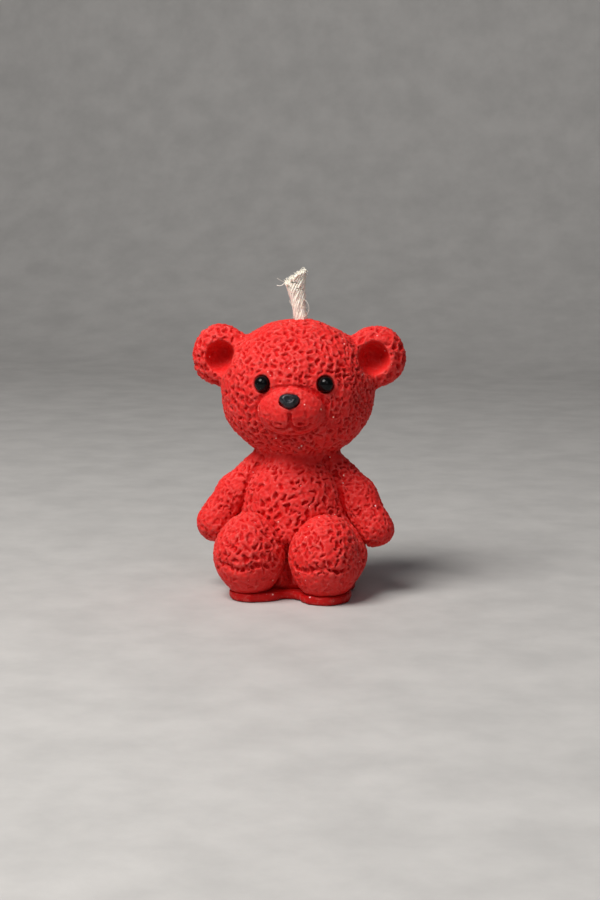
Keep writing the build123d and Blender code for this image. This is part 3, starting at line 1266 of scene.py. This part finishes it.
@dataclass
class SharedEffects:
    """The effects that several finishes share, each built once as a node group."""

    mottle: bpy.types.NodeTree = field(init=False)
    grain: bpy.types.NodeTree = field(init=False)
    specks: bpy.types.NodeTree = field(init=False)

    def __post_init__(self) -> None:
        """Builds the groups."""
        self.mottle = self.build_mottle()
        self.grain = self.build_grain()
        self.specks = self.build_specks()

    def start(
        self, name: str, sockets: dict[str, float], outputs: dict[str, str]
    ) -> tuple[Graph, bpy.types.NodeOutputs, bpy.types.NodeInputs]:
        """Starts a group.

        Args:
            name: the group's name.
            sockets: its number inputs and what they are unless fed.
            outputs: its outputs and their socket types.

        Returns:
            Its graph, its input node and its output node.
        """
        tree = bpy.data.node_groups.new(name, "ShaderNodeTree")
        for key, value in sockets.items():
            made = tree.interface.new_socket(key, in_out="INPUT", socket_type="NodeSocketFloat")
            made.default_value = value
        for key, kind in outputs.items():
            tree.interface.new_socket(key, in_out="OUTPUT", socket_type=kind)
        graph = Graph(tree)
        return graph, tree.nodes.new("NodeGroupInput").outputs, tree.nodes.new("NodeGroupOutput").inputs

    def place(self, graph: Graph) -> Socket:
        """The place on the piece, in metres."""
        return graph.node("TexCoord").outputs["Object"]

    def build_mottle(self) -> bpy.types.NodeTree:
        """Builds cloudy unevenness: a Mask from 0 to 1 in patches of the given Size.

        Returns:
            The group.
        """
        inputs = {"Size": 0.004, "Contrast": 0.5}
        graph, given, result = self.start("cloudy_mottle", inputs, {"Mask": "NodeSocketFloat"})
        scale = graph.sum("DIVIDE", 1.0, given["Size"])
        cloud = graph.noise(self.place(graph), scale, 4.0, 0.6)
        spread = graph.sum("MULTIPLY", 0.35, graph.sum("SUBTRACT", 1.0, given["Contrast"]))
        low = graph.sum("SUBTRACT", 0.45, spread)
        high = graph.sum("ADD", 0.55, spread)
        graph.feed(result["Mask"], graph.ramp(cloud, low, high))
        return graph.tree

    def build_grain(self) -> bpy.types.NodeTree:
        """Builds a fine grain: a Normal for relief and a Mask for sheen, in grains of the given Size.

        Returns:
            The group.
        """
        inputs = {"Size": 0.0003, "Height": 0.00003}
        outputs = {"Normal": "NodeSocketVector", "Mask": "NodeSocketFloat"}
        graph, given, result = self.start("fine_grain", inputs, outputs)
        scale = graph.sum("DIVIDE", 1.0, given["Size"])
        fine = graph.noise(self.place(graph), scale, 3.0, 0.65)
        coarse = graph.noise(self.place(graph), graph.sum("MULTIPLY", scale, 0.3), 2.0, 0.5)
        both = graph.sum("ADD", graph.sum("MULTIPLY", fine, 0.45), graph.sum("MULTIPLY", coarse, 0.55))
        bump = graph.node("Bump", {"Strength": 1.0, "Distance": given["Height"], "Height": both})
        graph.feed(result["Normal"], bump.outputs["Normal"])
        graph.feed(result["Mask"], graph.ramp(both, 0.36, 0.64))
        return graph.tree

    def build_specks(self) -> bpy.types.NodeTree:
        """Builds scattered dust: a Mask that is 1 on specks of the given Size, in a Share of the cells.

        Returns:
            The group.
        """
        inputs = {"Size": 0.0003, "Share": 0.05}
        graph, given, result = self.start("dust_specks", inputs, {"Mask": "NodeSocketFloat"})
        scale = graph.sum("DIVIDE", 0.4, given["Size"])
        cells = graph.node("TexVoronoi", {"Vector": self.place(graph), "Scale": scale, "Randomness": 1.0})
        chance = graph.node("SeparateColor", {"Color": cells.outputs["Color"]}).outputs["Red"]
        chosen = graph.sum("LESS_THAN", chance, given["Share"])
        size = graph.node("SeparateColor", {"Color": cells.outputs["Color"]}).outputs["Green"]
        reach = graph.ramp(size, 0.0, 1.0, 0.12, 0.34)
        core = graph.sum("MULTIPLY", reach, 0.7)
        round_speck = graph.ramp(cells.outputs["Distance"], core, reach, 1.0, 0.0)
        graph.feed(result["Mask"], graph.sum("MULTIPLY", chosen, round_speck))
        return graph.tree


class Finish:
    """What every finish shares: a material with its principled shader ready to be fed."""

    name: str

    def start(self) -> tuple[bpy.types.Material, Graph, bpy.types.NodeInputs]:
        """Starts the material.

        Returns:
            The material, its graph and the inputs of its shader.
        """
        material = bpy.data.materials.new(self.name)
        material.use_nodes = True
        graph = Graph(material.node_tree)
        shader = next(node for node in material.node_tree.nodes if node.type == "BSDF_PRINCIPLED")
        return material, graph, shader.inputs


@dataclass(frozen=True)
class RedWax(Finish):
    """Soft red candle wax with bloom and dust, painted shade in its hollows and painted sheen with wear on
    its ridges.
    """

    name: str
    ridge: tuple = (0.74, 0.034, 0.031, 1)
    skin: tuple = (0.67, 0.014, 0.013, 1)
    # the colour in the hollows: painted shade, darker than the skin
    pit: tuple = (0.56, 0.002, 0.003, 1)
    # also the colour of the painted sheen, with some wear, on the ridges
    bloom: tuple = (0.84, 0.26, 0.23, 1)
    dust: tuple = (0.93, 0.80, 0.76, 1)
    bloom_share: float = 0.10
    dust_share: float = 0.020
    glow: float = 0.45
    spread: Triple = (1.0, 0.10, 0.06)      # how far red, green and blue light travels in it
    reach: float = 0.0009                   # the farthest that light travels in it, in metres
    shine: float = 0.16
    roughness: float = 0.52

    def build(self, effects: SharedEffects) -> bpy.types.Material:
        """Builds the material, with painted shade where the hollow attribute is high and painted sheen, with
        wear, on ridge.

        Args:
            effects: the shared effects.

        Returns:
            The material.
        """
        material, graph, shader = self.start()
        hollow = graph.node("Attribute", attribute_name="hollow").outputs["Fac"]
        ridge = graph.node("Attribute", attribute_name="ridge").outputs["Fac"]
        cloud = graph.use(effects.mottle, Size=0.0065, Contrast=0.5).outputs["Mask"]
        streak = graph.use(effects.mottle, Size=0.0011, Contrast=0.7).outputs["Mask"]
        grain = graph.use(effects.grain, Size=0.00032, Height=0.00009)
        top = graph.mix(graph.sum("MULTIPLY", cloud, 0.7), self.ridge, self.skin)
        top = graph.mix(graph.sum("MULTIPLY", streak, 0.28), top, self.skin)
        # painted shade: the colour turns to the darker pit colour where the surface is hollow
        colour = graph.mix(graph.ramp(hollow, 0.0, 0.7), top, self.pit)
        # painted sheen, with some wear: ridges are paled towards the bloom colour, more in some streaks
        sheen_and_wear = graph.sum("MULTIPLY", graph.ramp(ridge, 0.1, 1.0), graph.ramp(streak, 0.0, 1.0, 0.2, 0.6))
        bloom = graph.sum("MULTIPLY", graph.ramp(streak, 0.72, 1.0), self.bloom_share)
        colour = graph.mix(graph.sum("ADD", bloom, graph.sum("MULTIPLY", sheen_and_wear, 0.30)), colour, self.bloom)
        specks = graph.use(effects.specks, Size=0.00028, Share=self.dust_share).outputs["Mask"]
        colour = graph.mix(graph.sum("MULTIPLY", specks, 0.75), colour, self.dust)
        graph.feed(shader["Base Color"], colour)
        rough = graph.ramp(grain.outputs["Mask"], 0.0, 1.0, self.roughness - 0.07, self.roughness + 0.10)
        graph.feed(shader["Roughness"], rough)
        graph.feed(shader["Normal"], grain.outputs["Normal"])
        shader["Subsurface Weight"].default_value = self.glow
        shader["Subsurface Radius"].default_value = self.spread
        shader["Subsurface Scale"].default_value = self.reach
        shader["IOR"].default_value = 1.44
        shader["Specular IOR Level"].default_value = self.shine
        return material


@dataclass(frozen=True)
class Cotton(Finish):
    """Undyed twisted cotton: cream, with tan seed specks and a soft fuzz."""

    name: str = "undyed_cotton"
    thread: tuple = (1.0, 0.96, 0.85, 1)
    shaded: tuple = (0.92, 0.82, 0.66, 1)
    seed: tuple = (0.46, 0.28, 0.16, 1)

    def build(self, effects: SharedEffects) -> bpy.types.Material:
        """Builds the material.

        Args:
            effects: the shared effects.

        Returns:
            The material.
        """
        material, graph, shader = self.start()
        cloud = graph.use(effects.mottle, Size=0.0012, Contrast=0.6).outputs["Mask"]
        specks = graph.use(effects.specks, Size=0.00022, Share=0.16).outputs["Mask"]
        grain = graph.use(effects.grain, Size=0.00016, Height=0.00005)
        colour = graph.mix(graph.sum("MULTIPLY", cloud, 0.35), self.thread, self.shaded)
        colour = graph.mix(graph.sum("MULTIPLY", specks, 0.5), colour, self.seed)
        graph.feed(shader["Base Color"], colour)
        graph.feed(shader["Normal"], grain.outputs["Normal"])
        shader["Roughness"].default_value = 0.92
        shader["Sheen Weight"].default_value = 0.25
        shader["Subsurface Weight"].default_value = 0.15
        shader["Subsurface Radius"].default_value = (1.0, 0.8, 0.6)
        shader["Subsurface Scale"].default_value = 0.0005
        return material


@dataclass(frozen=True)
class BlackGloss(Finish):
    """Black moulded plastic, polished, with a trace of dust and patches of hairline haze; on the nose the
    patches are painted glints.
    """

    name: str
    colour: tuple = (0.002, 0.002, 0.002, 1)
    haze_and_glint: tuple = (0.009, 0.009, 0.010, 1)
    roughness: float = 0.05
    coat: float = 0.10

    def build(self, effects: SharedEffects) -> bpy.types.Material:
        """Builds the material.

        Args:
            effects: the shared effects.

        Returns:
            The material.
        """
        material, graph, shader = self.start()
        cloud = graph.use(effects.mottle, Size=0.0011, Contrast=0.4).outputs["Mask"]
        specks = graph.use(effects.specks, Size=0.00009, Share=0.03).outputs["Mask"]
        grain = graph.use(effects.grain, Size=0.00035, Height=0.000004)
        # patches of the haze colour: hairline haze on the eyes, painted glints on the nose
        colour = graph.mix(graph.sum("MULTIPLY", cloud, 0.5), self.colour, self.haze_and_glint)
        colour = graph.mix(graph.sum("MULTIPLY", specks, 0.5), colour, (0.5, 0.45, 0.44, 1))
        graph.feed(shader["Base Color"], colour)
        graph.feed(shader["Roughness"], graph.ramp(cloud, 0.0, 1.0, self.roughness, self.roughness + 0.05))
        graph.feed(shader["Normal"], grain.outputs["Normal"])
        shader["Specular IOR Level"].default_value = 0.10
        shader["Coat Weight"].default_value = self.coat
        shader["Coat Roughness"].default_value = 0.04
        return material


@dataclass(frozen=True)
class PaleTable(Finish):
    """The pale grey table that the candle stands on."""

    name: str = "pale_table"
    light: tuple = (0.54, 0.53, 0.52, 1)
    dark: tuple = (0.38, 0.375, 0.37, 1)

    def build(self, effects: SharedEffects) -> bpy.types.Material:
        """Builds the material.

        Args:
            effects: the shared effects.

        Returns:
            The material.
        """
        material, graph, shader = self.start()
        cloud = graph.use(effects.mottle, Size=0.016, Contrast=0.2).outputs["Mask"]
        grain = graph.use(effects.grain, Size=0.0009, Height=0.00004)
        colour = graph.mix(graph.sum("MULTIPLY", cloud, 0.6), self.light, self.dark)
        graph.feed(shader["Base Color"], colour)
        graph.feed(shader["Normal"], grain.outputs["Normal"])
        shader["Roughness"].default_value = 0.7
        return material


# ---------------------------------------------------------------- the studio


@dataclass
class SoftLight:
    """A square soft light that faces the bear."""

    name: str
    azimuth: float      # seen from above, in degrees, 0 in front of the bear
    elevation: float
    distance: float
    size: float
    power: float
    tint: Triple

    def build(self, aim: Vector) -> None:
        """Puts the light up.

        Args:
            aim: the place that it points at, in metres.
        """
        data = bpy.data.lights.new(self.name, "AREA")
        data.shape = "RECTANGLE"
        data.size = data.size_y = self.size * MM
        data.energy = self.power
        data.color = self.tint
        lamp = bpy.data.objects.new(self.name, data)
        bpy.context.scene.collection.objects.link(lamp)
        back = direction(self.azimuth, self.elevation)
        lamp.location = aim + back * self.distance * MM
        lamp.rotation_euler = (-back).to_track_quat("-Z", "Y").to_euler()


def direction(azimuth: float, elevation: float) -> Vector:
    """The direction from the bear to a place round it.

    Args:
        azimuth: 0 in front of the bear and 90 on its right-hand side as one faces it, in degrees.
        elevation: the angle above the horizon, in degrees.

    Returns:
        The direction, of length 1.
    """
    turn, rise = math.radians(azimuth), math.radians(elevation)
    return Vector((math.sin(turn) * math.cos(rise), -math.cos(turn) * math.cos(rise), math.sin(rise)))


@dataclass
class Studio:
    """The table, the lights and the camera."""

    floor_half: float = 900.0
    backdrop_start: float = 420.0
    backdrop_radius: float = 260.0
    backdrop_height: float = 900.0
    azimuth: float = 10.5
    elevation: float = 9.0
    distance: float = 486.0
    lens: float = 81.7
    aim_height: float = 33.2
    aim_aside: float = 0.47
    ambient: tuple = (0.86, 0.90, 1.0, 1)
    ambient_strength: float = 0.045
    lights: tuple[SoftLight, ...] = (
        SoftLight("key_light", -34.0, 55.0, 620.0, 330.0, 5.0, (1.0, 0.97, 0.93)),
        SoftLight("fill_light", 28.0, 38.0, 700.0, 420.0, 0.48, (0.93, 0.96, 1.0)),
    )

    def floor(self, material: bpy.types.Material) -> None:
        """Lays the table, which curves up behind the bear.

        Args:
            material: the table's finish.
        """
        profile = [(-self.floor_half, 0.0), (self.backdrop_start, 0.0)]
        for step in range(1, 25):
            angle = math.radians(90 * step / 24)
            along = self.backdrop_start + self.backdrop_radius * math.sin(angle)
            profile.append((along, self.backdrop_radius * (1 - math.cos(angle))))
        profile.append((self.backdrop_start + self.backdrop_radius, self.backdrop_height))
        points = [(x, y, z) for y, z in profile for x in (-self.floor_half, self.floor_half)]
        faces = [[2 * row, 2 * row + 1, 2 * row + 3, 2 * row + 2] for row in range(len(profile) - 1)]
        table = make_object("table", np.array(points), faces)
        table.data.materials.append(material)

    def camera(self) -> None:
        """Sets the camera up."""
        data = bpy.data.cameras.new("camera")
        data.lens = self.lens
        data.clip_start, data.clip_end = 0.01, 20.0
        camera = bpy.data.objects.new("camera", data)
        bpy.context.scene.collection.objects.link(camera)
        turn = math.radians(self.azimuth)
        aside = Vector((math.cos(turn), math.sin(turn), 0)) * self.aim_aside
        aim = (Vector((0, 0, self.aim_height)) + aside) * MM
        back = direction(self.azimuth, self.elevation)
        camera.location = aim + back * self.distance * MM
        camera.rotation_euler = (-back).to_track_quat("-Z", "Y").to_euler()
        bpy.context.scene.camera = camera

    def build(self, material: bpy.types.Material) -> None:
        """Sets everything up.

        Args:
            material: the table's finish.
        """
        self.floor(material)
        for light in self.lights:
            light.build(Vector((0, 0, self.aim_height * MM)))
        world = bpy.data.worlds.new("studio")
        world.use_nodes = True
        sky = world.node_tree.nodes["Background"].inputs
        sky["Color"].default_value = self.ambient
        sky["Strength"].default_value = self.ambient_strength
        bpy.context.scene.world = world
        bpy.context.scene.view_settings.view_transform = "Standard"
        self.camera()


# ---------------------------------------------------------------- putting it together


def main() -> None:
    """Builds every piece in order, then the studio."""
    logging.basicConfig(level=logging.INFO, format="%(message)s")
    effects = SharedEffects()
    figure = WaxFigure()
    figure.build(RedWax("red_wax").build(effects))
    # a darker copy of the figure's wax for the base: painted shade under the bear
    shaded_foot_wax = RedWax(
        "red_wax_foot",
        ridge=(0.56, 0.014, 0.013, 1),
        skin=(0.46, 0.006, 0.006, 1),
        pit=(0.40, 0.002, 0.003, 1),
        dust_share=0.04,
        bloom_share=0.15,
    )
    BasePour().build(shaded_foot_wax.build(effects))
    CottonWick().build(Cotton().build(effects))
    eye_finish = BlackGloss("black_eye_gloss").build(effects)
    for side in Side:
        name = f"{side.name.lower()}_eye_button"
        place, facing = figure.eye_place(side)
        eye = Button(
            name + "_turned", name, place, facing, half_width=1.88, half_height=1.92, depth=2.0, corner=0.0
        )
        eye.build(eye_finish)
    # the nose's paler haze colour paints slate-grey glints in patches
    satin = BlackGloss("black_nose_satin", roughness=0.26, coat=0.30, haze_and_glint=(0.080, 0.088, 0.108, 1))
    nose_finish = satin.build(effects)
    place, facing = figure.nose_place()
    nose = Button(
        "nose_pressed",
        "nose_button",
        place,
        facing,
        half_width=2.25,
        half_height=1.8,
        depth=2.0,
        corner=1.0,
        dimple=0.95,
    )
    nose.build(nose_finish)
    Studio().build(PaleTable().build(effects))


if __name__ == "__main__":
    main()
